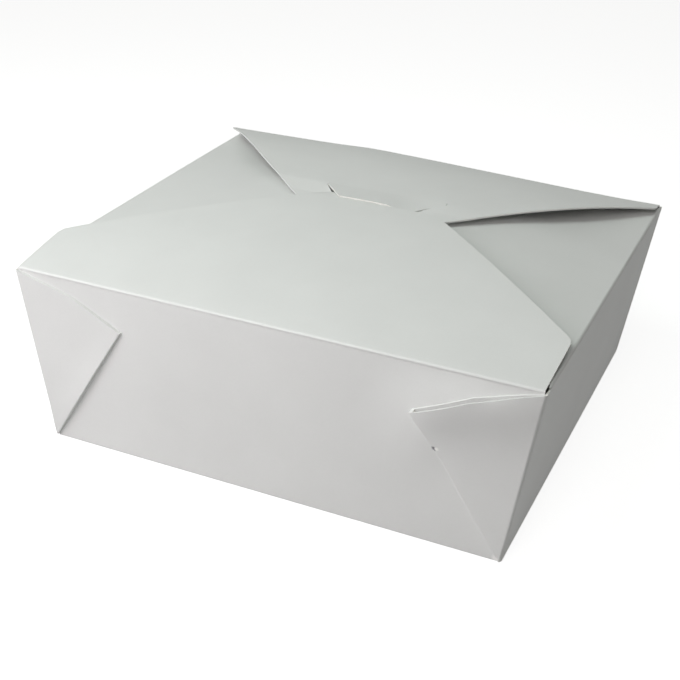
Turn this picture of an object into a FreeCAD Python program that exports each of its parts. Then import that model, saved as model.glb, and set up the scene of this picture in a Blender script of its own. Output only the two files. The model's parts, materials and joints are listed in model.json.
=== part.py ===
import FreeCAD, Part
import math
import os

# A takeout food box folded from one sheet of coated paperboard. Its corners are
# webs, folded in two and glued flat on the outside of the front and back walls.
# Origin at the middle of the base's underside, +X along the long sides, +Y from
# the front wall to the back wall, +Z up. Millimetres and degrees.

# The open tray, over the walls' outer faces and without the ears.
rim_length = 172.0
rim_width = 149.4
base_length = 155.0
base_width = 144.4
rim_height = 61.5
board = 0.5
fold_radius = 0.8

# The webs. The web's own fold runs up from the base corner to the ear's tip, and
# its cut edge runs from the rim corner by way of a knee to the same tip.
web_fold_length = 55.0
web_knee_run = 19.9
web_knee_drop = 6.0
web_top_drop = 0.9
web_fold_radius = 0.45
web_mouth_gap = 0.14
web_mouth_depth = 12.0
web_mouth_margin = 1.2
web_floor = 1.2

# The end flaps, folded in first, level but for a slight dip.
end_flap_reach = 62.0
end_flap_foot = 6.8
end_flap_taper = 16.0
end_flap_tip_radius = 6.0
end_flap_dip = 2.0

# The back flap, folded second. It domes up to a soft bend behind its slit, and
# dips from there under the front flap. The lip behind the slit springs up.
foot_inset = 1.0
shoulder_inset = 0.5
back_shoulder = 11.5
back_flap_reach = 80.5
back_tip_half_width = 14.7
back_flap_rise = 6.9
bend_reach = 53.6
bend_radius = 8.0
underlap_slope = 6.0
underlap_level_slope = 1.5
underlap_level_reach = 61.5
flap_corner_radius = 1.5

# The slit, by the distance of its long edge from the back crease.
lip_reach = 66.2
lip_half_width = 13.0
relief_half_width = 22.0
relief_depth = 11.0
lip_lift = 5.0
lip_root = 3.0
slit_width = 0.25
slit_corner_radius = 0.25

# The front flap, folded last, with its tongue at the slit.
front_shoulder = 24.0
front_flap_rise = 7.4
front_tip_half_width = 11.0
tongue_clearance = 0.3
crease_bead_radius = 0.6
crease_clearance = 0.12
crease_relief = 0.55
foot_clearance = 0.25

end_lean = math.degrees(math.atan2((rim_length - base_length) / 2, rim_height))
side_lean = math.degrees(math.atan2((rim_width - base_width) / 2, rim_height))
web_thickness = 2 * board
overlap = 2.0
spare = 10.0
corner_share = 0.45

UP = FreeCAD.Vector(0, 0, 1)
ALONG = FreeCAD.Vector(1, 0, 0)
ORIGIN = FreeCAD.Vector(0, 0, 0)


def direction(angle):
    """Unit vector in the YZ plane, at an angle up from +Y."""
    turn = math.radians(angle)
    return FreeCAD.Vector(0, math.cos(turn), math.sin(turn))


def plan_point(x, y):
    return FreeCAD.Vector(x, y, 0)


def mirrored(points):
    """An outline's right half, listed from the rear forward, and its mirror image."""
    left = [FreeCAD.Vector(-p.x, p.y, p.z) for p in reversed(points)]
    return points + left


def rounded_polygon(points, radius):
    """Closed wire with every corner rounded, as far as its two sides allow."""
    count = len(points)
    arcs = []
    for i, corner in enumerate(points):
        before = points[i - 1] - corner
        after = points[(i + 1) % count] - corner
        half = before.getAngle(after) / 2
        room = corner_share * min(before.Length, after.Length)
        setback = min(radius / math.tan(half), room)
        fitted = setback * math.tan(half)
        before.normalize()
        after.normalize()
        inward = (before + after).normalize()
        centre = corner + inward * (fitted / math.sin(half))
        start = corner + before * setback
        end = corner + after * setback
        arcs.append(Part.Arc(start, centre - inward * fitted, end).toShape())
    edges = []
    for i, arc in enumerate(arcs):
        following = arcs[(i + 1) % count]
        line = Part.LineSegment(arc.lastVertex().Point, following.firstVertex().Point)
        edges += [arc, line.toShape()]
    return Part.Wire(edges)


def rectangle(inset, extra_width, level):
    """Corners of the tray's outer form at a level, drawn in by an inset."""
    share = level / rim_height
    length = base_length + (rim_length - base_length) * share
    width = base_width + (rim_width - base_width) * share
    x = length / 2 - inset / math.cos(math.radians(end_lean))
    y = (width + extra_width) / 2 - inset / math.cos(math.radians(side_lean))
    return [FreeCAD.Vector(i * x, j * y, level) for i, j in ((1, 1), (-1, 1), (-1, -1), (1, -1))]


def frustum(inset, extra_width, floor, top):
    """The tray's outer form with sharp edges, cut off at two levels."""
    low = rectangle(inset, extra_width, floor)
    high = rectangle(inset, extra_width, top)
    outlines = [low[::-1], high]
    for i in range(len(low)):
        k = (i + 1) % len(low)
        outlines.append([low[i], low[k], high[k], high[i]])
    faces = [Part.Face(Part.makePolygon(points + points[:1])) for points in outlines]
    return Part.Solid(Part.Shell(faces))


def folded_edges(solid, radius, base_too):
    """The solid with its upright edges rounded, and those round its base on request."""
    box = solid.BoundBox
    middle = (box.ZMin + box.ZMax) / 2
    chosen = []
    for edge in solid.Edges:
        reach = edge.BoundBox
        upright = reach.ZMin < middle < reach.ZMax
        if upright or (base_too and reach.ZMax < middle):
            chosen.append(edge)
    return solid.makeFillet(radius, chosen)


def strip(start, heading, spans, half_thickness):
    """Section of a bent sheet in the YZ plane, from its mid-line.

    Each span is a length and the angle that the sheet turns through along it.
    """
    upper = []
    lower = []
    here = start
    for length, turn in spans:
        radius = length / math.radians(turn) if turn else None
        sides = []
        for offset in (half_thickness, -half_thickness):
            normal = direction(heading + 90)
            begin = here + normal * offset
            if radius is None:
                end = begin + direction(heading) * length
                sides.append(Part.LineSegment(begin, end).toShape())
                continue
            centre = here + normal * radius
            middle = centre - direction(heading + turn / 2 + 90) * (radius - offset)
            end = centre - direction(heading + turn + 90) * (radius - offset)
            sides.append(Part.Arc(begin, middle, end).toShape())
        upper.append(sides[0])
        lower.append(sides[1])
        if radius is None:
            here = here + direction(heading) * length
        else:
            centre = here + direction(heading + 90) * radius
            heading += turn
            here = centre - direction(heading + 90) * radius
    near = Part.LineSegment(lower[0].firstVertex().Point, upper[0].firstVertex().Point)
    far = Part.LineSegment(upper[-1].lastVertex().Point, lower[-1].lastVertex().Point)
    edges = [near.toShape()] + upper + [far.toShape()] + lower[::-1]
    return Part.Face(Part.Wire(Part.__sortEdges__(edges)))


def crease_centre(half_span, lean, radius):
    """Centre of the fold at the rim of a wall that faces -Y."""
    slope = math.radians(lean)
    inset = radius * (1 + math.sin(slope)) / math.cos(slope)
    return FreeCAD.Vector(0, inset - half_span, rim_height - radius)


def folded_strip(half_span, lean, rise_angle, spans, half_length):
    """A sheet that comes up a wall facing -Y and folds over its rim."""
    mid_radius = fold_radius - board / 2
    centre = crease_centre(half_span, lean, fold_radius)
    wall_heading = 90 + lean
    wall_top = centre + direction(wall_heading + 90) * mid_radius
    start = wall_top - direction(wall_heading) * overlap
    turn = rise_angle - wall_heading
    fold = (mid_radius * math.radians(-turn), turn)
    section = strip(start, wall_heading, [(overlap, 0), fold] + spans, board / 2)
    section.translate(ALONG * -half_length)
    return section.extrude(ALONG * 2 * half_length)


def arch_span(run, rise):
    """Angle at which an arc starts, to end level after a run and a rise, and its span."""
    angle = 2 * math.degrees(math.atan2(rise, run))
    length = run / math.sin(math.radians(angle)) * math.radians(angle)
    return angle, (length, -angle)


def plan_prism(points, radius):
    """Upright prism over an outline, tall enough to cut any flap."""
    face = Part.Face(rounded_polygon(points, radius))
    face.translate(UP * (rim_height - spare))
    return face.extrude(UP * 2 * spare)


def slit_outline(offset):
    """The lip's outline, widened by an offset, as seen from the front crease's side."""
    edge_y = rim_width / 2 - lip_reach
    root_y = rim_width / 2 - bend_reach
    run = relief_half_width - lip_half_width
    diagonal = math.hypot(run, relief_depth)
    corner_shift = offset * (diagonal - run) / relief_depth
    side_shift = offset * diagonal / relief_depth
    right = [
        plan_point(relief_half_width + side_shift, root_y),
        plan_point(relief_half_width + side_shift, edge_y + relief_depth),
        plan_point(lip_half_width + corner_shift, edge_y - offset),
    ]
    return mirrored(right)


def web_corners():
    """The right-hand web's rim corner, knee and tip in its wall's plane, from the base corner.

    In the flat sheet the base's right angle, the corner angles of the two walls
    and the web's own angle fill a full turn, and the web folds in half.
    """
    slant = rim_height / math.cos(math.radians(side_lean))
    flare = (rim_length - base_length) / 2
    side_angle = 90 + math.degrees(math.atan2(flare, slant))
    end_slant = math.hypot(rim_height, flare)
    end_angle = 90 + math.degrees(math.atan2((rim_width - base_width) / 2, end_slant))
    half_web = (360 - 90 - side_angle - end_angle) / 2
    fold_angle = math.radians(side_angle - half_web)
    top = FreeCAD.Vector(flare, 0, slant - web_top_drop)
    knee = top + FreeCAD.Vector(-web_knee_run, 0, web_top_drop - web_knee_drop)
    tip = FreeCAD.Vector(-math.cos(fold_angle), 0, math.sin(fold_angle)) * web_fold_length
    return top, knee, tip


def on_wall(shape):
    """Moves a shape from the front wall's own plane to the wall's outer face."""
    shape.rotate(ORIGIN, ALONG, side_lean)
    shape.translate(FreeCAD.Vector(base_length / 2, -base_width / 2, 0))
    return shape


def web_plate():
    """The glued web at the front right corner, two layers thick."""
    top, knee, tip = web_corners()
    outward = (top - knee).normalize() * spare
    corner = FreeCAD.Vector(spare, 0, 0)
    outline = [ORIGIN, corner, top + outward, top, knee, tip, ORIGIN]
    face = Part.Face(Part.makePolygon(outline))
    face.translate(FreeCAD.Vector(0, board / 2, 0))
    plate = face.extrude(FreeCAD.Vector(0, -web_thickness - board / 2, 0))
    fold = [edge for edge in plate.Edges if is_web_fold(edge, tip)]
    return on_wall(plate.makeFillet(web_fold_radius, fold))


def is_web_fold(edge, tip):
    """Whether an edge is the outer one along the web's own fold."""
    ends = [vertex.Point for vertex in edge.Vertexes]
    if len(ends) != 2 or max(end.y for end in ends) > -board:
        return False
    levels = sorted(end.z for end in ends)
    return abs(levels[0]) < board and abs(levels[1] - tip.z) < board


def web_mouth():
    """The narrow gap that shows between a web's two layers along its cut edge."""
    top, knee, tip = web_corners()
    shrink = 1 - web_mouth_depth / web_fold_length
    from_fold = tip + (knee - tip).normalize() * web_mouth_margin
    from_corner = top + (knee - top).normalize() * web_mouth_margin
    near = [from_corner * (1 / shrink), knee * (1 / shrink), from_fold * (1 / shrink)]
    far = [from_fold * shrink, knee * shrink, from_corner * shrink]
    face = Part.Face(Part.makePolygon(near + far + near[:1]))
    face.translate(FreeCAD.Vector(0, -board - web_mouth_gap / 2, 0))
    return on_wall(face.extrude(FreeCAD.Vector(0, web_mouth_gap, 0)))


def four_corners(shape):
    """A shape at the front right corner and its mirror images at the others."""
    left = shape.mirror(ORIGIN, ALONG)
    return [shape, left] + [s.mirror(ORIGIN, FreeCAD.Vector(0, 1, 0)) for s in (shape, left)]


def tray():
    """Base, walls and glued webs."""
    outer = folded_edges(frustum(0, 0, 0, rim_height), fold_radius, True)
    envelope = frustum(0, 2 * web_thickness, web_floor, rim_height)
    web = web_plate().common(folded_edges(envelope, fold_radius, False)).cut(web_mouth())
    hollow = folded_edges(frustum(board, 0, board, rim_height + spare), fold_radius - board, False)
    body = outer.fuse(four_corners(web)).cut(hollow)
    rim_cut = Part.makeBox(rim_length + spare, rim_width + spare, spare)
    rim_cut.translate(FreeCAD.Vector(-(rim_length + spare) / 2, -(rim_width + spare) / 2,
                                     rim_height - fold_radius))
    return body.cut(rim_cut)


def end_flap():
    """The flap at the right end."""
    half = rim_width / 2 - end_flap_foot
    narrowing = end_flap_reach * math.tan(math.radians(end_flap_taper))
    edge_y = -rim_length / 2
    tip_y = edge_y + end_flap_reach
    right = [
        plan_point(half - narrowing, tip_y),
        plan_point(half, edge_y + fold_radius),
        plan_point(half, edge_y - spare),
    ]
    flap = folded_strip(rim_length / 2, end_lean, -end_flap_dip,
                        [(end_flap_reach + spare, 0)], half)
    flap = flap.common(plan_prism(mirrored(right), end_flap_tip_radius))
    flap.rotate(ORIGIN, UP, 90)
    return flap


def shoulder_points(shoulder, reach, tip_half_width):
    """Right half of a main flap's outline, drawn as if its crease faced -Y."""
    edge_y = -rim_width / 2
    foot_x = rim_length / 2 - foot_inset
    shoulder_x = rim_length / 2 - shoulder_inset
    return [
        plan_point(tip_half_width, edge_y + reach),
        plan_point(shoulder_x, edge_y + shoulder),
        plan_point(foot_x, edge_y + fold_radius),
        plan_point(foot_x, edge_y - spare),
    ]


def back_flap():
    """The flap with the slit, drawn facing -Y and turned to the back."""
    centre = crease_centre(rim_width / 2, side_lean, fold_radius)
    mid_top = centre.z + fold_radius - board / 2
    run = bend_reach - rim_width / 2 - centre.y
    angle, dome = arch_span(run, rim_height + back_flap_rise - mid_top)
    half = rim_length / 2
    down_run = underlap_level_reach - bend_reach
    level_run = back_flap_reach - underlap_level_reach + spare
    turn_back = underlap_slope - underlap_level_slope
    down = [
        dome,
        (bend_radius * math.radians(underlap_slope), -underlap_slope),
        (down_run, 0),
        (bend_radius * math.radians(turn_back), turn_back),
        (level_run, 0),
    ]
    up = [
        dome,
        (bend_radius * math.radians(lip_lift), lip_lift),
        (lip_reach - bend_reach + spare, 0),
    ]
    sheet = folded_strip(rim_width / 2, side_lean, angle, down, half)
    outline = mirrored(shoulder_points(back_shoulder, back_flap_reach, back_tip_half_width))
    sheet = sheet.common(plan_prism(outline, flap_corner_radius))
    sheet.rotate(ORIGIN, UP, 180)
    sheet = sheet.cut(plan_prism(slit_outline(slit_width), slit_corner_radius))
    lip_sheet = folded_strip(rim_width / 2, side_lean, angle, up, half)
    lip_sheet.rotate(ORIGIN, UP, 180)
    lip_points = slit_outline(0)
    lip_points[0].y += lip_root
    lip_points[-1].y += lip_root
    lip = lip_sheet.common(plan_prism(lip_points, slit_corner_radius))
    return sheet.fuse(lip)


def front_crease(radius):
    """Rod along the front crease, as long as the front flap's foot."""
    centre = crease_centre(rim_width / 2, side_lean, crease_bead_radius)
    half = rim_length / 2 - foot_inset
    return Part.makeCylinder(radius, 2 * half, centre - ALONG * half, ALONG)


def front_relief():
    """Room for the front flap's crease along the top of the front wall."""
    centre = crease_centre(rim_width / 2, side_lean, crease_bead_radius)
    half = rim_length / 2 - foot_inset + foot_clearance
    room = Part.makeBox(2 * half, spare, spare)
    room.translate(FreeCAD.Vector(-half, centre.y - spare / 2, centre.z - crease_relief))
    bead = crease_bead_radius + crease_clearance
    rod = Part.makeCylinder(bead, 2 * half, centre - ALONG * half, ALONG)
    return room.fuse(rod)


def front_flap():
    """The flap with the tongue, which ends in front of the raised lip."""
    centre = crease_centre(rim_width / 2, side_lean, crease_bead_radius)
    ridge_reach = rim_width - lip_reach
    reach = ridge_reach + relief_depth
    run = ridge_reach - rim_width / 2 - centre.y
    angle, dome = arch_span(run, rim_height + front_flap_rise - centre.z)
    section = strip(centre, angle, [dome, (relief_depth + spare, 0)], board / 2)
    half = rim_length / 2
    section.translate(ALONG * -half)
    sheet = section.extrude(ALONG * 2 * half)
    outline = mirrored(shoulder_points(front_shoulder, reach, front_tip_half_width))
    sheet = sheet.common(plan_prism(outline, flap_corner_radius))
    sheet = sheet.fuse(front_crease(crease_bead_radius))
    return sheet.cut(plan_prism(slit_outline(tongue_clearance), slit_corner_radius))


def carton():
    """The whole sheet but for the flap that opens first."""
    right = end_flap()
    left = right.mirror(ORIGIN, ALONG)
    body = tray().fuse([right, left, back_flap()])
    return body.cut(front_relief()).removeSplitter()


def export(name, shape):
    solids = shape.Solids
    if len(solids) != 1 or not shape.isValid():
        raise ValueError(f"{name}: {len(solids)} solids, valid {shape.isValid()}")
    print(name, round(shape.Volume, 2), "mm3,", len(shape.Faces), "faces")
    shape.exportStep(f"parts/{name}.step")


os.makedirs("parts", exist_ok=True)
export("carton", carton())
export("front_flap", front_flap().removeSplitter())
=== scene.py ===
import json
import math

import bmesh
import bpy
from bpy.props import FloatProperty, FloatVectorProperty, IntProperty, PointerProperty
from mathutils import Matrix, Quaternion, Vector


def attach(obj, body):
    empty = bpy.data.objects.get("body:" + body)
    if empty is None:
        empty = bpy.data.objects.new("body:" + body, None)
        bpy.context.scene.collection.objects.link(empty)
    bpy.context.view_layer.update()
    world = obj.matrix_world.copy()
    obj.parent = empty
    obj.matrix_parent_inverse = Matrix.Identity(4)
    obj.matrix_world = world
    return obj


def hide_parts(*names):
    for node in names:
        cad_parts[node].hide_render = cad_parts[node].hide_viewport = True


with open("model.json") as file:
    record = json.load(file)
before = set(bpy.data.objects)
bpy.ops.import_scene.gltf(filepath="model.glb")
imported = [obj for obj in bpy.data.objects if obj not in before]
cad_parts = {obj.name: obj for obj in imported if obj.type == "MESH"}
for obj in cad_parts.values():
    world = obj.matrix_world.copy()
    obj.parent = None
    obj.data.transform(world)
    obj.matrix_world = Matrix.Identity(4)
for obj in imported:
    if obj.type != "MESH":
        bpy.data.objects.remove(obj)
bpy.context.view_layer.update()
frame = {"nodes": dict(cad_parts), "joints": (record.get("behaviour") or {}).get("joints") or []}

bl_info = {
    "name": "Takeout food box",
    "version": (1, 0, 0),
    "blender": (4, 5, 0),
    "location": "3D View > Sidebar > Takeout Box",
    "description": "Dresses the folded paperboard carton and sets its studio stage",
    "category": "Object",
}

MM = 0.001
RIM_LENGTH = 172.0 * MM
RIM_WIDTH = 149.4 * MM
BASE_LENGTH = 155.0 * MM
BASE_WIDTH = 144.4 * MM
RIM_HEIGHT = 61.5 * MM
BOARD = 0.5 * MM
CREASE = Vector(frame["joints"][0]["pos_m"])
BEND_REACH = 53.6 * MM
LIP_LENGTH = 12.6 * MM
LIP_HALF = 13.0 * MM
LIP_ROOT_HALF = 22.0 * MM
RELIEF_DEPTH = 11.0 * MM
END_FLAP_REACH = 62.0 * MM
END_FLAP_HALF = 67.9 * MM
END_FLAP_INSET = 0.6 * MM
CORNER_CLOSING = 4.6 * MM
FRONT_RIM_HEIGHT = 60.35 * MM
EAR_TOP = 60.6 * MM
EAR_TIP_HEIGHT = 47.0 * MM
EAR_FOLD_SLOPE = 0.84
# Centre of a small nick in the front wall, coloured near black there as painted shade
NICK_WITH_PAINTED_SHADE = Vector((55.5, -75.0, 35.2)) * MM
PALE_SPOT = Vector((56.4, -75.0, 35.4)) * MM
SCUFFED_CORNER = Vector((76.2, -72.2, 1.2)) * MM
WELD = 0.002 * MM
SOFTEST_FOLD = math.radians(35)
CREASE_ROLL = math.radians(205)
FACE, EDGE = 0, 1


class BoardSettings(bpy.types.PropertyGroup):
    """Colours and finish of the coated paperboard."""

    face_color: FloatVectorProperty(
        name="Coated face", description="Colour of the coated white face",
        subtype="COLOR", size=3, default=(0.80, 0.80, 0.79), min=0, max=1)
    core_color: FloatVectorProperty(
        name="Cut edge", description="Colour of the bare fibre that shows on a cut edge",
        subtype="COLOR", size=3, default=(0.90, 0.88, 0.84), min=0, max=1)
    face_roughness: FloatProperty(
        name="Face roughness", description="Roughness of the coated face",
        default=0.5, min=0, max=1, subtype="FACTOR")
    waviness: FloatProperty(
        name="Waviness", description="How far the folded sheet strays from flat",
        default=0.5 * MM, min=0, max=3 * MM, subtype="DISTANCE", precision=5)
    wave_size: FloatProperty(
        name="Wave size", description="From one swell of the sheet to the next",
        default=85 * MM, min=10 * MM, subtype="DISTANCE")
    wave_seed: IntProperty(
        name="Wave seed", description="Picks another pattern of swells", default=7, min=0)
    cell: FloatProperty(
        name="Cell", description="Size of the mesh cells that the swells bend",
        default=4 * MM, min=2 * MM, subtype="DISTANCE")


class TraySettings(bpy.types.PropertyGroup):
    """How the carton's board springs away from its folds."""

    corner_lift: FloatProperty(
        name="Corner lift", description="Rise of the back flap's left corner",
        default=2.6 * MM, min=0, max=8 * MM, subtype="DISTANCE", precision=5)
    corner_draw: FloatProperty(
        name="Corner draw", description="How far the lifted corner draws in along the box",
        default=1.5 * MM, min=0, max=5 * MM, subtype="DISTANCE", precision=5)
    back_roll: FloatProperty(
        name="Back roll", description="Rise of the back flap close to its soft crease",
        default=3.2 * MM, min=0, max=5 * MM, subtype="DISTANCE", precision=5)
    end_spring: FloatProperty(
        name="End spring", description="Rise of the end flaps' inner ends against the main flaps",
        default=7.2 * MM, min=0, max=8 * MM, subtype="DISTANCE", precision=5)
    lip_press: FloatProperty(
        name="Lip press", description="How far the lip's right side is pressed level",
        default=1.4 * MM, min=0, max=2 * MM, subtype="DISTANCE", precision=5)
    side_rise: FloatProperty(
        name="Side rise", description="Rise of the back flap beside the lip's right side",
        default=0.75 * MM, min=0, max=2 * MM, subtype="DISTANCE", precision=5)
    ear_stand: FloatProperty(
        name="Ear stand", description="How far the ears' folded edges stand off the wall",
        default=0.9 * MM, min=0, max=2 * MM, subtype="DISTANCE", precision=5)
    ear_bulge: FloatProperty(
        name="Ear bulge", description="Swell of the front wall behind its right ear",
        default=2.3 * MM, min=0, max=3 * MM, subtype="DISTANCE", precision=5)
    ear_bow: FloatProperty(
        name="Ear bow", description="Gap at the middle of the front right ear's open edge",
        default=2.6 * MM, min=0, max=3 * MM, subtype="DISTANCE", precision=5)
    wall_bow: FloatProperty(
        name="Wall bow", description="Swell of the walls at their middle",
        default=0.5 * MM, min=0, max=2 * MM, subtype="DISTANCE", precision=5)


class FlapSettings(bpy.types.PropertyGroup):
    """Sizes of the front flap, from the crease that it opens on."""

    fold_radius: FloatProperty(
        name="Fold radius", description="Radius of the folded crease along the sheet's middle",
        default=0.46 * MM, min=0.3 * MM, subtype="DISTANCE", precision=5)
    rise: FloatProperty(
        name="Rise", description="Height of the flap's level part above the rim",
        default=7.4 * MM, min=0, subtype="DISTANCE", precision=5)
    ridge_reach: FloatProperty(
        name="Ridge reach", description="From the front wall to where the arch is level",
        default=82.4 * MM, subtype="DISTANCE", precision=5)
    tongue_reach: FloatProperty(
        name="Tongue reach", description="From the front wall to the tongue's end",
        default=88.2 * MM, subtype="DISTANCE", precision=5)
    tongue_dip: FloatProperty(
        name="Tongue dip", description="Slope at which the tongue slides under the lip",
        default=math.radians(8), subtype="ANGLE")
    lip_reach: FloatProperty(
        name="Lip reach", description="From the front wall to just short of the lip's edge",
        default=83.05 * MM, subtype="DISTANCE", precision=5)
    trim_start: FloatProperty(
        name="Trim start", description="Reach from which the flap's right side is drawn back",
        default=76.0 * MM, subtype="DISTANCE", precision=5)
    tuck_fade: FloatProperty(
        name="Tuck fade", description="Length over which the tongue ends, right of the middle",
        default=3.0 * MM, min=1 * MM, subtype="DISTANCE", precision=5)
    shoulder_reach: FloatProperty(
        name="Shoulder reach", description="From the front wall to the flap's shoulders",
        default=24.0 * MM, subtype="DISTANCE", precision=5)
    foot_half: FloatProperty(
        name="Foot half width", description="Half the flap's width at its crease",
        default=85.0 * MM, subtype="DISTANCE", precision=5)
    shoulder_half: FloatProperty(
        name="Shoulder half width", description="Half the flap's width at its shoulders",
        default=85.5 * MM, subtype="DISTANCE", precision=5)
    point_half: FloatProperty(
        name="Point half width", description="Half the width at which the slanted sides would end",
        default=11.0 * MM, subtype="DISTANCE", precision=5)
    point_reach: FloatProperty(
        name="Point reach", description="From the front wall to where the slanted sides would end",
        default=94.2 * MM, subtype="DISTANCE", precision=5)


class StageSettings(bpy.types.PropertyGroup):
    """Camera and lamps of the studio."""

    azimuth: FloatProperty(
        name="Azimuth", description="Camera's turn about the box, from straight in front",
        default=math.radians(23.498), subtype="ANGLE")
    elevation: FloatProperty(
        name="Elevation", description="Camera's angle above the table",
        default=math.radians(27.993), subtype="ANGLE")
    roll: FloatProperty(
        name="Roll", description="Camera's tilt about its own line of sight",
        default=math.radians(1.7254), subtype="ANGLE")
    aim: FloatVectorProperty(
        name="Aim", description="Point in the middle of the picture",
        default=(-0.0037472, -0.0077431, 0.0234519), subtype="XYZ", unit="LENGTH", precision=4)
    distance: FloatProperty(
        name="Distance", description="From the camera to the point it aims at",
        default=0.43308, subtype="DISTANCE")
    lens: FloatProperty(
        name="Lens", description="Focal length in millimetres on a 36 mm sensor",
        default=65.983, min=10, max=300)
    near_power: FloatProperty(
        name="Near power", description="Power of the lamp close above on the left",
        default=0.70, min=0, unit="POWER")
    front_power: FloatProperty(
        name="Front power", description="Power of the large lamp in front",
        default=3.0, min=0, unit="POWER")
    low_power: FloatProperty(
        name="Low power", description="Power of the low lamp in front on the left",
        default=0.90, min=0, unit="POWER")
    top_power: FloatProperty(
        name="Top power", description="Power of the lamp above the right end",
        default=0.21, min=0, unit="POWER")
    room_light: FloatProperty(
        name="Room light", description="Strength of the even light of the room",
        default=0.09, min=0)


class Socket:
    """A node's output, with arithmetic that adds Math nodes to the same tree."""

    def __init__(self, tree, output):
        self.tree = tree
        self.output = output

    def _math(self, operation, *values):
        return self.tree.add("ShaderNodeMath", {"operation": operation}, dict(enumerate(values)))

    def __add__(self, other):
        return self._math("ADD", self, other)

    def __radd__(self, other):
        return self._math("ADD", other, self)

    def __sub__(self, other):
        return self._math("SUBTRACT", self, other)

    def __rsub__(self, other):
        return self._math("SUBTRACT", other, self)

    def __mul__(self, other):
        return self._math("MULTIPLY", self, other)

    def __rmul__(self, other):
        return self._math("MULTIPLY", other, self)

    def __truediv__(self, other):
        return self._math("DIVIDE", self, other)

    def __rtruediv__(self, other):
        return self._math("DIVIDE", other, self)

    def clamped(self):
        return self.tree.add("ShaderNodeClamp", {}, {"Value": self})

    def at_least(self, other):
        return self._math("MAXIMUM", self, other)

    def at_most(self, other):
        return self._math("MINIMUM", self, other)

    def sine(self):
        return self._math("SINE", self)

    def cosine(self):
        return self._math("COSINE", self)


class NodeTree:
    """A node tree with one method that adds any node."""

    def __init__(self, tree):
        self.tree = tree

    def add(self, kind, settings, inputs, out=0):
        """Adds a node, sets its settings, then fills its sockets with values or links."""
        node = self.tree.nodes.new(kind)
        for name, value in settings.items():
            setattr(node, name, value)
        for name, value in inputs.items():
            if isinstance(value, Socket):
                self.tree.links.new(value.output, node.inputs[name])
            else:
                node.inputs[name].default_value = value
        return Socket(self, node.outputs[out]) if node.outputs else node

    def split(self, vector):
        """The three parts of a vector or colour."""
        parts = self.add("ShaderNodeSeparateXYZ", {}, {"Vector": vector}).output.node.outputs
        return [Socket(self, part) for part in parts]

    def mixed(self, share, first, second):
        """The first colour where the share is 0 and the second where it is 1."""
        return self.add("ShaderNodeMix", {"data_type": "RGBA"}, {0: share, 6: first, 7: second}, out=2)


def new_material(name):
    """An empty node material and its tree."""
    material = bpy.data.materials.new(name)
    material.use_nodes = True
    material.node_tree.nodes.clear()
    return material, NodeTree(material.node_tree)


def smooth_step(low, high, value):
    """Rises smoothly from 0 at low to 1 at high."""
    share = min(max((value - low) / (high - low), 0), 1)
    return share * share * (3 - 2 * share)


def hump(value, foot, top, top_end, foot_end):
    """Rises smoothly from 0 at the foot to 1 at the top, and falls again past the top's end."""
    return smooth_step(foot, top, value) * (1 - smooth_step(top_end, foot_end, value))


def swell(share):
    """1 half way along, 0 at both ends."""
    return math.sin(math.pi * min(max(share, 0), 1))


class RuleTree(NodeTree):
    """A Geometry Nodes tree with named inputs, a mesh in and a mesh out."""

    def __init__(self, name):
        super().__init__(bpy.data.node_groups.new(name, "GeometryNodeTree"))
        self.values = {}
        self.start = self.tree.nodes.new("NodeGroupInput")
        self.end = self.tree.nodes.new("NodeGroupOutput")
        self.mesh = self.input("Mesh", "NodeSocketGeometry")
        self.tree.interface.new_socket("Mesh", in_out="OUTPUT", socket_type="NodeSocketGeometry")

    def input(self, name, kind="NodeSocketFloat", value=None):
        """Adds a named input and keeps the value that the modifier will hand it."""
        item = self.tree.interface.new_socket(name, in_out="INPUT", socket_type=kind)
        if value is not None:
            self.values[item.identifier] = value
        return Socket(self, self.start.outputs[name])

    def apply(self, holder, materials):
        """Ends the tree in its materials and turns the holder's result into a plain mesh."""
        self.mesh = self.add("GeometryNodeRealizeInstances", {}, {0: self.mesh})
        if not holder.data.materials:
            for material in materials:
                holder.data.materials.append(material)
        kind = self.add("GeometryNodeInputMaterialIndex", {}, {})
        for index, material in enumerate(materials):
            chosen = self.add("FunctionNodeCompare", {"data_type": "INT", "operation": "EQUAL"},
                              {2: kind, 3: index})
            self.mesh = self.add("GeometryNodeSetMaterial", {}, {
                "Geometry": self.mesh, "Selection": chosen, "Material": material})
        self.tree.links.new(self.mesh.output, self.end.inputs[0])
        modifier = holder.modifiers.new("rule", "NODES")
        modifier.node_group = self.tree
        for identifier, value in self.values.items():
            modifier[identifier] = value
        graph = bpy.context.evaluated_depsgraph_get()
        made = bpy.data.meshes.new_from_object(holder.evaluated_get(graph))
        holder.modifiers.clear()
        holder.data = made


def new_piece(name, mesh):
    """A linked object at the origin."""
    piece = bpy.data.objects.new(name, mesh)
    bpy.context.scene.collection.objects.link(piece)
    return piece


def wave_rule(board):
    """Moves a sheet by slow swells that die out at the table and at the front crease."""
    rule = RuleTree("board_waves")
    height = rule.input("Waviness", value=board.waviness)
    size = rule.input("Wave size", value=board.wave_size)
    seed = rule.input("Seed", "NodeSocketInt", board.wave_seed)
    still = rule.input("Still reach", value=12 * MM)
    place = rule.add("GeometryNodeInputPosition", {}, {})
    x, y, z = rule.split(place)
    noise = rule.add("ShaderNodeTexNoise", {"noise_dimensions": "4D"},
                     {"Vector": place, "W": seed, "Scale": 1 / size, "Detail": 0.0}, out="Color")
    red, green, blue = rule.split(noise)
    from_crease = (y - CREASE.y).at_least(0 - (y - CREASE.y)) + (CREASE.z - z).at_least(0)
    free = (z / still).clamped() * (from_crease / still).clamped()
    reach = height * 2 * free
    shift = rule.add("ShaderNodeCombineXYZ", {}, {
        "X": (red - 0.5) * reach * 0.3, "Y": (green - 0.5) * reach, "Z": (blue - 0.5) * reach})
    rule.mesh = rule.add("GeometryNodeSetPosition", {}, {"Geometry": rule.mesh, "Offset": shift})
    return rule


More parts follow.
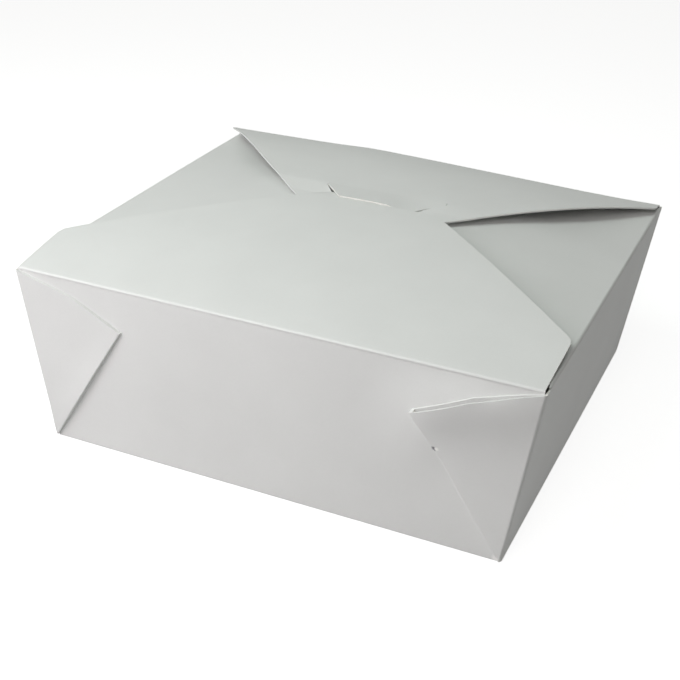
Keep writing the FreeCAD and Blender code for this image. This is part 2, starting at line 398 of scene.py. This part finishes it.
def spot(tree, place, centre, inner, outer):
    """1 within the inner distance of a point on a wall and 0 beyond the outer one.

    Distances out from the front wall count little, so that the spot shows on a bowed wall.
    """
    away = tree.add("ShaderNodeVectorMath", {"operation": "SUBTRACT"}, {0: place, 1: tuple(centre)})
    weights = (1, 0.1, 1)
    flat = tree.add("ShaderNodeVectorMath", {"operation": "MULTIPLY"}, {0: away, 1: weights})
    apart = tree.add("ShaderNodeVectorMath", {"operation": "LENGTH"}, {0: flat}, out="Value")
    return ((outer - apart) / (outer - inner)).clamped()


def coated_board(settings):
    """White clay-coated board: faint mottle in tone and gloss, a fine uneven surface, a small nick in
    the front wall darkened with painted shade, a pale spot beside it, and a scuffed bottom corner."""
    material, tree = new_material("white_coated_face")
    place = tree.add("ShaderNodeTexCoord", {}, {}, out="Object")
    cloud = tree.add("ShaderNodeTexNoise", {}, {"Vector": place, "Scale": 45.0, "Detail": 3.0})
    fibre = tree.add("ShaderNodeTexNoise", {}, {"Vector": place, "Scale": 1400.0, "Detail": 4.0})
    face = (*settings.face_color, 1)
    dim = tuple(0.93 * c for c in settings.face_color) + (1,)
    shade = (cloud * 0.7 + fibre * 0.3 - 0.3) * 1.6
    color = tree.mixed(shade.clamped(), dim, face)
    rough = settings.face_roughness + (fibre - 0.5) * 0.25
    nick_with_painted_shade = spot(tree, place, NICK_WITH_PAINTED_SHADE, 0.5 * MM, 1.0 * MM)
    # Painted shade: the nick's hollow is coloured near black; its real dent is the bump further down.
    color = tree.mixed(nick_with_painted_shade, color, (0.16, 0.15, 0.17, 1))
    # A small pale spot just right of the nick, mixed in with the scuffed corner's pale colour.
    pale_spot = spot(tree, place, PALE_SPOT, 0.4 * MM, 0.8 * MM)
    corner = spot(tree, place, SCUFFED_CORNER, 1.0 * MM, 2.0 * MM)
    pale = (pale_spot + corner).clamped()
    color = tree.mixed(pale, color, (0.95, 0.94, 0.92, 1))
    height = fibre - nick_with_painted_shade * 4
    bump = tree.add("ShaderNodeBump", {}, {"Strength": 0.12, "Distance": 0.00008, "Height": height})
    bsdf = tree.add("ShaderNodeBsdfPrincipled", {}, {
        "Base Color": color, "Roughness": rough, "Normal": bump, "Specular IOR Level": 0.3})
    tree.add("ShaderNodeOutputMaterial", {}, {"Surface": bsdf})
    return material


def bare_core(settings):
    """The board's cut edge: bare pressed fibre, paler and duller than the coated face."""
    material, tree = new_material("bare_core")
    place = tree.add("ShaderNodeTexCoord", {}, {}, out="Object")
    fibre = tree.add("ShaderNodeTexNoise", {}, {"Vector": place, "Scale": 2500.0, "Detail": 3.0})
    pale = (*settings.core_color, 1)
    dark = tuple(0.8 * c for c in settings.core_color) + (1,)
    color = tree.mixed(fibre, dark, pale)
    bump = tree.add("ShaderNodeBump", {}, {"Strength": 0.3, "Distance": 0.00005, "Height": fibre})
    bsdf = tree.add("ShaderNodeBsdfPrincipled", {}, {
        "Base Color": color, "Roughness": 0.8, "Normal": bump})
    tree.add("ShaderNodeOutputMaterial", {}, {"Surface": bsdf})
    return material


def welded_copy(node):
    """A clean mesh of a CAD node: its doubles merged and its flat faces made whole."""
    work = bmesh.new()
    work.from_mesh(node.data)
    bmesh.ops.remove_doubles(work, verts=work.verts, dist=WELD)
    bmesh.ops.dissolve_limit(work, angle_limit=math.radians(0.3), verts=work.verts,
                             edges=work.edges)
    return work


def is_cut_edge(face):
    """Whether a face is as narrow as the board and meets its long neighbours squarely."""
    sides = sorted(face.edges, key=lambda edge: -edge.calc_length())[:2]
    width = face.calc_area() / sides[0].calc_length()
    square = all(len(side.link_faces) == 2 and side.calc_face_angle() > math.radians(50)
                 for side in sides)
    return width < 1.2 * BOARD and square


def cut_into_cells(work, cell):
    """Splits the faces along three sets of level planes, so that the sheet can bend."""
    for axis, half in ((0, RIM_LENGTH / 2), (1, RIM_WIDTH / 2), (2, RIM_HEIGHT)):
        normal = Vector([float(i == axis) for i in range(3)])
        count = int(half / cell)
        first = 1 if axis == 2 else -count
        for step in range(first, count + 1):
            everything = work.verts[:] + work.edges[:] + work.faces[:]
            bmesh.ops.bisect_plane(work, geom=everything, plane_co=normal * (step * cell),
                                   plane_no=normal, dist=WELD)


def finish_mesh(work, name):
    """Marks the folds sharper than a rounded one and hands the mesh over smooth."""
    for edge in work.edges:
        edge.smooth = not edge.is_manifold or edge.calc_face_angle() < SOFTEST_FOLD
    for face in work.faces:
        face.smooth = True
    mesh = bpy.data.meshes.new(name)
    work.to_mesh(mesh)
    work.free()
    return mesh


def wall_y(z):
    """Half the tray's width over its walls' outer faces, at a height."""
    return (BASE_WIDTH + (RIM_WIDTH - BASE_WIDTH) * z / RIM_HEIGHT) / 2


def wall_x(z):
    """Half the tray's length over its walls' outer faces, at a height."""
    return (BASE_LENGTH + (RIM_LENGTH - BASE_LENGTH) * z / RIM_HEIGHT) / 2


def bow_walls(point, bow):
    """The walls swell a little outwards between the base and the rim."""
    if point.z > RIM_HEIGHT:
        return Vector()
    up = swell(point.z / RIM_HEIGHT)
    near_side = smooth_step(-6 * MM, -2 * MM, abs(point.y) - wall_y(point.z))
    near_end = smooth_step(-6 * MM, -2 * MM, abs(point.x) - wall_x(point.z))
    along = swell(0.5 + point.x / (2 * wall_x(point.z)))
    across = swell(0.5 + point.y / (2 * wall_y(point.z)))
    return Vector((math.copysign(bow * up * across * near_end, point.x),
                   math.copysign(bow * up * along * near_side, point.y), 0))


def is_back_flap(point):
    """The back flap lies above the rim, from the back wall to a little past the middle."""
    return point.z > RIM_HEIGHT + 0.05 * MM and point.y > -20 * MM and not is_end_flap(point)


def is_end_flap(point):
    """The end flaps lie at the rim's level or up to 3 mm below it, inside the walls."""
    level = RIM_HEIGHT - 3 * MM < point.z < RIM_HEIGHT + 0.03 * MM
    inside = abs(point.x) < RIM_LENGTH / 2 - END_FLAP_INSET and abs(point.y) < END_FLAP_HALF + 0.1 * MM
    return level and inside


def shape_back_flap(point, tray):
    """The back flap's left corner springs up, its back rolls softly over the crease, and its
    lip is pressed level on the right, where the sheet beside it rises."""
    if not is_back_flap(point):
        return Vector()
    from_crease = RIM_WIDTH / 2 - point.y
    left = -point.x
    foot_end = 84 * MM
    lifted = smooth_step(25 * MM, 80 * MM, left) * hump(from_crease, 0.8 * MM, 9 * MM, 12 * MM, 62 * MM)
    even_slack = min(max(0.75 * (1 + left / foot_end), 0), 1)
    slack = even_slack * (1 - smooth_step(20 * MM, foot_end, left))
    rolled = slack * hump(from_crease, 0, 4.5 * MM, 5 * MM, 48 * MM)
    beyond_bend = (from_crease - BEND_REACH) / LIP_LENGTH
    if is_lip(point):
        change = -tray.lip_press * smooth_step(2 * MM, LIP_HALF, point.x) * max(beyond_bend, 0)
    else:
        change = (tray.side_rise * hump(point.x, LIP_HALF, 19 * MM, 24 * MM, 60 * MM)
                  * smooth_step(-0.1, 0.6, beyond_bend))
    rise = tray.corner_lift * lifted + tray.back_roll * rolled + change
    return Vector((tray.corner_draw * lifted, 0, rise))


def is_lip(point):
    """Whether a point of the back flap is inside the slit, seen from above."""
    depth = RIM_WIDTH / 2 - BEND_REACH - point.y
    straight = LIP_LENGTH - RELIEF_DEPTH
    side = LIP_ROOT_HALF - max(depth - straight, 0) * (LIP_ROOT_HALF - LIP_HALF) / RELIEF_DEPTH
    return depth > 0 and point.z > RIM_HEIGHT + 2 * MM and abs(point.x) < side + 0.1 * MM


def spring_end_flap(point, spring):
    """An end flap's middle rises against the main flaps, which hold its sides down, and its
    foot widens towards the corners."""
    if not is_end_flap(point):
        return Vector()
    still = 1 * MM
    inwards = (RIM_LENGTH / 2 - still - abs(point.x)) / (END_FLAP_REACH - still)
    free = 1 - smooth_step(20 * MM, 66 * MM, abs(point.y))
    near_foot = smooth_step(0.35, 0.0, inwards)
    wider = 3 * MM * near_foot * smooth_step(56 * MM, END_FLAP_HALF, abs(point.y))
    return Vector((0, math.copysign(wider, point.y), spring * max(inwards, 0) * free))


def close_corner(point):
    """The end flaps' feet run on along the rim, close to the corners."""
    along_rim = 56 * MM < point.z < RIM_HEIGHT + 0.1 * MM
    if abs(point.x) < RIM_LENGTH / 2 - END_FLAP_INSET or not along_rim:
        return Vector()
    across = abs(point.y)
    past_flap = across - END_FLAP_HALF - 0.05 * MM
    if past_flap < 0:
        share = smooth_step(56 * MM, END_FLAP_HALF, across)
    else:
        share = max(1 - past_flap / (6.4 * MM), 0)
    shift = CORNER_CLOSING * share * smooth_step(56 * MM, 60.5 * MM, point.z)
    return Vector((0, math.copysign(shift, point.y), 0))


def shape_ears(point, tray):
    """The left ears' folded edges stand off the wall, and the front right ear gapes.

    An ear is two boards thick, so what lies further out than one board is its outer layer.
    """
    out = abs(point.y) - wall_y(point.z)
    if out < -0.9 * MM or point.z > EAR_TOP:
        return Vector()
    from_fold = abs(wall_x(point.z) - abs(point.x) - EAR_FOLD_SLOPE * point.z)
    near_fold = 1 - smooth_step(BOARD, 9 * MM, from_fold)
    move = 0.0
    if out > 0.1 * MM and point.x < 0:
        move += tray.ear_stand * near_fold * swell(point.z / EAR_TIP_HEIGHT)
    if out > BOARD + 0.05 * MM and point.x > 0 and point.y < 0:
        move -= 0.9 * (out - BOARD) * near_fold
    if point.x > 20 * MM and point.y < 0:
        tip, corner = 38 * MM, 85 * MM
        along = swell((point.x - tip) / (corner - tip))
        mouth = 46 * MM + 9 * MM * smooth_step(42 * MM, 66 * MM, point.x)
        move += tray.ear_bulge * along * hump(point.z, mouth - 30 * MM, mouth, mouth, 60.3 * MM)
        if out > BOARD + 0.02 * MM:
            move += tray.ear_bow * along * smooth_step(mouth - 14 * MM, mouth, point.z)
    return Vector((0, math.copysign(move, point.y), 0))


def seat_front_rim(point):
    """The front wall's outer top edge closes up to the folded crease above it."""
    if point.y > -RIM_WIDTH / 2 + 0.2 * MM or abs(point.z - FRONT_RIM_HEIGHT) > 0.03 * MM:
        return Vector()
    return Vector((0, 0, 0.13 * MM))


class TAKEOUT_OT_tray(bpy.types.Operator):
    """Makes the tray with its glued ears, end flaps and slit back flap"""

    bl_idname = "takeout.tray"
    bl_label = "Tray and closed flaps"

    def execute(self, context):
        board = context.scene.takeout_board
        tray = context.scene.takeout_tray
        work = welded_copy(frame["nodes"]["carton"])
        for face in work.faces:
            middle = face.calc_center_median()
            # Painted shade: cut edges on the pressed right side of the lip get the darker coated face's
            # colour instead of the paler bare core's, so that they show no brighter than the faces
            # beside them.
            painted_shade_on_lip = middle.x > 6 * MM and is_lip(middle)
            face.material_index = EDGE if is_cut_edge(face) and not painted_shade_on_lip else FACE
        cut_into_cells(work, board.cell)
        for vertex in work.verts:
            place = vertex.co.copy()
            vertex.co += (bow_walls(place, tray.wall_bow) + shape_back_flap(place, tray)
                          + spring_end_flap(place, tray.end_spring) + close_corner(place)
                          + shape_ears(place, tray) + seat_front_rim(place))
        piece = new_piece("folded_tray", finish_mesh(work, "folded_tray"))
        wave_rule(board).apply(piece, board_materials(board))
        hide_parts("carton")
        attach(piece, "carton")
        return {"FINISHED"}


def arch_start(sizes):
    """Where the front flap leaves its fold, at which slope, and the arch's radius."""
    level_y = sizes.ridge_reach - RIM_WIDTH / 2
    level_z = RIM_HEIGHT + sizes.rise
    slope = 0.0
    tries = 8
    for _ in range(tries):
        y = CREASE.y - sizes.fold_radius * math.sin(slope)
        z = CREASE.z + sizes.fold_radius * math.cos(slope)
        slope = 2 * math.atan2(level_z - z, level_y - y)
    return slope, (level_y - y) / math.sin(slope)


def flap_half_width(sizes, reach):
    """Half the front flap's width at a distance from the front wall."""
    slope = (sizes.shoulder_half - sizes.point_half) / (sizes.point_reach - sizes.shoulder_reach)
    slanted = sizes.shoulder_half - slope * (reach - sizes.shoulder_reach)
    upright = sizes.foot_half + (sizes.shoulder_half - sizes.foot_half) * reach / sizes.shoulder_reach
    soft = 0.5 * MM
    least = min(slanted, upright)
    half = least - soft * math.log(math.exp((least - slanted) / soft)
                                   + math.exp((least - upright) / soft))
    corner = 1.5 * MM
    past = min(max(reach - (sizes.tongue_reach - corner), 0), corner)
    return half - corner + math.sqrt(corner * corner - past * past)


def flat_flap(sizes, stations, columns):
    """The front flap's flat sheet, with one row of points for each station along it.

    Its tongue is tucked in on the left, and on the right it ends short of the lip.
    """
    mesh = bpy.data.meshes.new("front_flap_sheet")
    points = []
    for along, reach in stations:
        half = flap_half_width(sizes, reach)
        drawn = max(reach - sizes.trim_start, 0) / (sizes.tongue_reach - sizes.trim_start)
        past = (sizes.tongue_reach - sizes.lip_reach) * drawn * drawn
        for i in range(columns + 1):
            x = half * (2 * i / columns - 1)
            points.append((x, along - past * smooth_step(0, sizes.tuck_fade, x), 0))
    row = columns + 1
    faces = [(j * row + i, j * row + i + 1, (j + 1) * row + i + 1, (j + 1) * row + i)
             for j in range(len(stations) - 1) for i in range(columns)]
    mesh.from_pydata(points, [], faces)
    for polygon in mesh.polygons:
        polygon.use_smooth = True
    return mesh


def arch_rule(sizes, slope, radius):
    """Rolls the flat sheet over the crease, arches it and dips its tongue."""
    rule = RuleTree("arched_flap")
    fold = rule.input("Fold radius", value=sizes.fold_radius)
    start = rule.input("Start slope", value=slope)
    bend = rule.input("Arch radius", value=radius)
    length = rule.input("Arch length", value=slope * radius)
    dip = rule.input("Tongue slope", value=math.tan(sizes.tongue_dip))
    soft = rule.input("Dip softness", value=1.5 * MM)
    place = rule.add("GeometryNodeInputPosition", {}, {})
    x, along, _ = rule.split(place)
    rolled = (0 - along).at_least(0) / fold + start + math.pi / 2
    arched = along.at_least(0).at_most(length) / bend
    beyond = (along - length).at_least(0)
    y = CREASE.y + fold * rolled.cosine() + bend * (start.sine() - (start - arched).sine()) + beyond
    z = (CREASE.z + fold * rolled.sine() + bend * ((start - arched).cosine() - start.cosine())
         - dip * beyond * beyond / (beyond + soft))
    bent = rule.add("ShaderNodeCombineXYZ", {}, {"X": x, "Y": y, "Z": z})
    rule.mesh = rule.add("GeometryNodeSetPosition", {}, {"Geometry": rule.mesh, "Position": bent})
    return rule


class TAKEOUT_OT_flap(bpy.types.Operator):
    """Makes the arched front flap with its rolled crease and its tongue"""

    bl_idname = "takeout.flap"
    bl_label = "Front flap"

    def execute(self, context):
        board = context.scene.takeout_board
        sizes = context.scene.takeout_flap
        slope, radius = arch_start(sizes)
        rolls, cells, ends, columns = 18, 34, 10, 40
        stations = [(-sizes.fold_radius * CREASE_ROLL * (1 - i / rolls), 0) for i in range(rolls)]
        length = slope * radius
        for i in range(cells):
            along = length * i / cells
            reach = (RIM_WIDTH / 2 + CREASE.y - sizes.fold_radius * math.sin(slope)
                     + radius * (math.sin(slope) - math.sin(slope - along / radius)))
            stations.append((along, reach))
        tail = sizes.tongue_reach - sizes.ridge_reach
        for i in range(ends + 1):
            past_ridge = tail * swell(i / ends / 2)
            stations.append((length + past_ridge, sizes.ridge_reach + past_ridge))
        piece = new_piece("front_flap_sheet", flat_flap(sizes, stations, columns))
        materials = board_materials(board)
        arch_rule(sizes, slope, radius).apply(piece, materials)
        thicken(piece, materials)
        wave_rule(board).apply(piece, materials)
        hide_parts("front_flap")
        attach(piece, "front_flap")
        return {"FINISHED"}


def thicken(piece, materials):
    """Gives a single sheet the board's thickness, with bare cut edges."""
    for material in materials:
        if material.name not in piece.data.materials:
            piece.data.materials.append(material)
    wall = piece.modifiers.new("board", "SOLIDIFY")
    wall.thickness = BOARD
    wall.offset = 0
    wall.use_even_offset = True
    wall.material_offset_rim = EDGE
    graph = bpy.context.evaluated_depsgraph_get()
    solid = bpy.data.meshes.new_from_object(piece.evaluated_get(graph))
    piece.modifiers.clear()
    piece.data = solid
    work = bmesh.new()
    work.from_mesh(solid)
    bmesh.ops.recalc_face_normals(work, faces=work.faces)
    piece.data = finish_mesh(work, piece.name)
    for material in materials:
        piece.data.materials.append(material)


def board_materials(board):
    """The coated face and the bare cut edge, made once."""
    made = [bpy.data.materials.get(name) for name in ("white_coated_face", "bare_core")]
    return made if all(made) else [coated_board(board), bare_core(board)]


def seen_from(turn, height):
    """Direction towards a viewer, by the turn from straight in front and the height."""
    flat = math.cos(height)
    return Vector((math.sin(turn) * flat, -math.cos(turn) * flat, math.sin(height)))


def area_lamp(name, place, aim, size, power, color):
    """A round lamp that faces a point."""
    lamp = bpy.data.lights.new(name, "AREA")
    lamp.shape = "DISK"
    lamp.size = size
    lamp.energy = power
    lamp.color = color
    holder = bpy.data.objects.new(name, lamp)
    holder.location = place
    holder.rotation_mode = "QUATERNION"
    holder.rotation_quaternion = (Vector(place) - Vector(aim)).to_track_quat("Z", "Y")
    bpy.context.scene.collection.objects.link(holder)
    return holder


def seen_as_white(tree, lit, shown):
    """A surface that the camera and clear reflections see brighter than the box is lit."""
    path = tree.add("ShaderNodeLightPath", {}, {}, out="Is Camera Ray")
    glossy = Socket(tree, path.output.node.outputs["Is Glossy Ray"])
    through = Socket(tree, path.output.node.outputs["Is Transmission Ray"])
    seen = (path + glossy + through).clamped()
    return tree.add("ShaderNodeMixShader", {}, {0: seen, 1: lit, 2: shown})


class TAKEOUT_OT_stage(bpy.types.Operator):
    """Sets the white table, the lamps, the room's light and the camera"""

    bl_idname = "takeout.stage"
    bl_label = "Set the stage"

    def execute(self, context):
        scene = context.scene
        stage = scene.takeout_stage
        self.floor()
        self.room(scene, stage)
        aim = (0, 0, 30 * MM)
        for name, turn, height, distance, size, power, color in (
                ("near_lamp", -40, 60, 0.45, 0.25, stage.near_power, (0.89, 1.0, 0.94)),
                ("front_lamp", 5, 35, 1.2, 0.5, stage.front_power, (1.0, 0.98, 0.98)),
                ("low_lamp", -38, 22, 0.48, 0.3, stage.low_power, (1.0, 0.95, 0.99)),
                ("top_lamp", 90, 74, 0.5, 0.2, stage.top_power, (0.92, 1.0, 0.96))):
            place = Vector(aim) + seen_from(math.radians(turn), math.radians(height)) * distance
            area_lamp(name, place, aim, size, power, color)
        self.camera(scene, stage)
        scene.view_settings.view_transform = "Standard"
        return {"FINISHED"}

    def floor(self):
        """A wide table that the camera sees as white, and that gives back half its light."""
        mesh = bpy.data.meshes.new("table_top")
        half = 4.0
        corners = [(-half, -half, 0), (half, -half, 0), (half, half, 0), (-half, half, 0)]
        mesh.from_pydata(corners, [], [(0, 1, 2, 3)])
        floor = new_piece("table_top", mesh)
        material, tree = new_material("white_table")
        lit = tree.add("ShaderNodeBsdfDiffuse", {}, {"Color": (0.5, 0.5, 0.5, 1)})
        glow = tree.add("ShaderNodeEmission", {}, {"Color": (1, 1, 1, 1), "Strength": 0.85})
        shown = tree.add("ShaderNodeAddShader", {}, {0: lit, 1: glow})
        surface = seen_as_white(tree, lit, shown)
        tree.add("ShaderNodeOutputMaterial", {}, {"Surface": surface})
        mesh.materials.append(material)

    def room(self, scene, stage):
        """An even, faint and warm light, seen as plain white."""
        world = bpy.data.worlds.new("room")
        scene.world = world
        world.use_nodes = True
        world.node_tree.nodes.clear()
        tree = NodeTree(world.node_tree)
        lit = tree.add("ShaderNodeBackground", {}, {
            "Color": (1.0, 0.97, 0.87, 1), "Strength": stage.room_light})
        shown = tree.add("ShaderNodeBackground", {}, {"Color": (1, 1, 1, 1), "Strength": 1.0})
        tree.add("ShaderNodeOutputWorld", {}, {"Surface": seen_as_white(tree, lit, shown)})

    def camera(self, scene, stage):
        data = bpy.data.cameras.new("camera")
        data.sensor_width = 36
        data.lens = stage.lens
        data.clip_start = 0.01
        data.clip_end = 50
        camera = bpy.data.objects.new("camera", data)
        back = seen_from(stage.azimuth, stage.elevation)
        camera.location = Vector(stage.aim) + back * stage.distance
        camera.rotation_mode = "QUATERNION"
        camera.rotation_quaternion = back.to_track_quat("Z", "Y") @ Quaternion((0, 0, 1), stage.roll)
        scene.collection.objects.link(camera)
        scene.camera = camera


class TAKEOUT_PT_panel(bpy.types.Panel):
    """Lists the makers of the takeout box"""

    bl_label = "Takeout Box"
    bl_idname = "TAKEOUT_PT_panel"
    bl_space_type = "VIEW_3D"
    bl_region_type = "UI"
    bl_category = "Takeout Box"

    def draw(self, context):
        for kind in OPERATORS:
            self.layout.operator(kind.bl_idname)
        for group_name in GROUPS:
            group = getattr(context.scene, group_name)
            for name in group.bl_rna.properties.keys():
                if name not in ("rna_type", "name"):
                    self.layout.prop(group, name)


GROUPS = {"takeout_board": BoardSettings, "takeout_tray": TraySettings,
          "takeout_flap": FlapSettings, "takeout_stage": StageSettings}
OPERATORS = (TAKEOUT_OT_tray, TAKEOUT_OT_flap, TAKEOUT_OT_stage)
CLASSES = tuple(GROUPS.values()) + OPERATORS + (TAKEOUT_PT_panel,)


def register():
    for kind in CLASSES:
        bpy.utils.register_class(kind)
    for name, group in GROUPS.items():
        setattr(bpy.types.Scene, name, PointerProperty(type=group))


def unregister():
    for name in GROUPS:
        delattr(bpy.types.Scene, name)
    for kind in reversed(CLASSES):
        bpy.utils.unregister_class(kind)


def main():
    register()
    bpy.ops.takeout.tray()
    bpy.ops.takeout.flap()
    bpy.ops.takeout.stage()


if __name__ == "__main__":
    main()
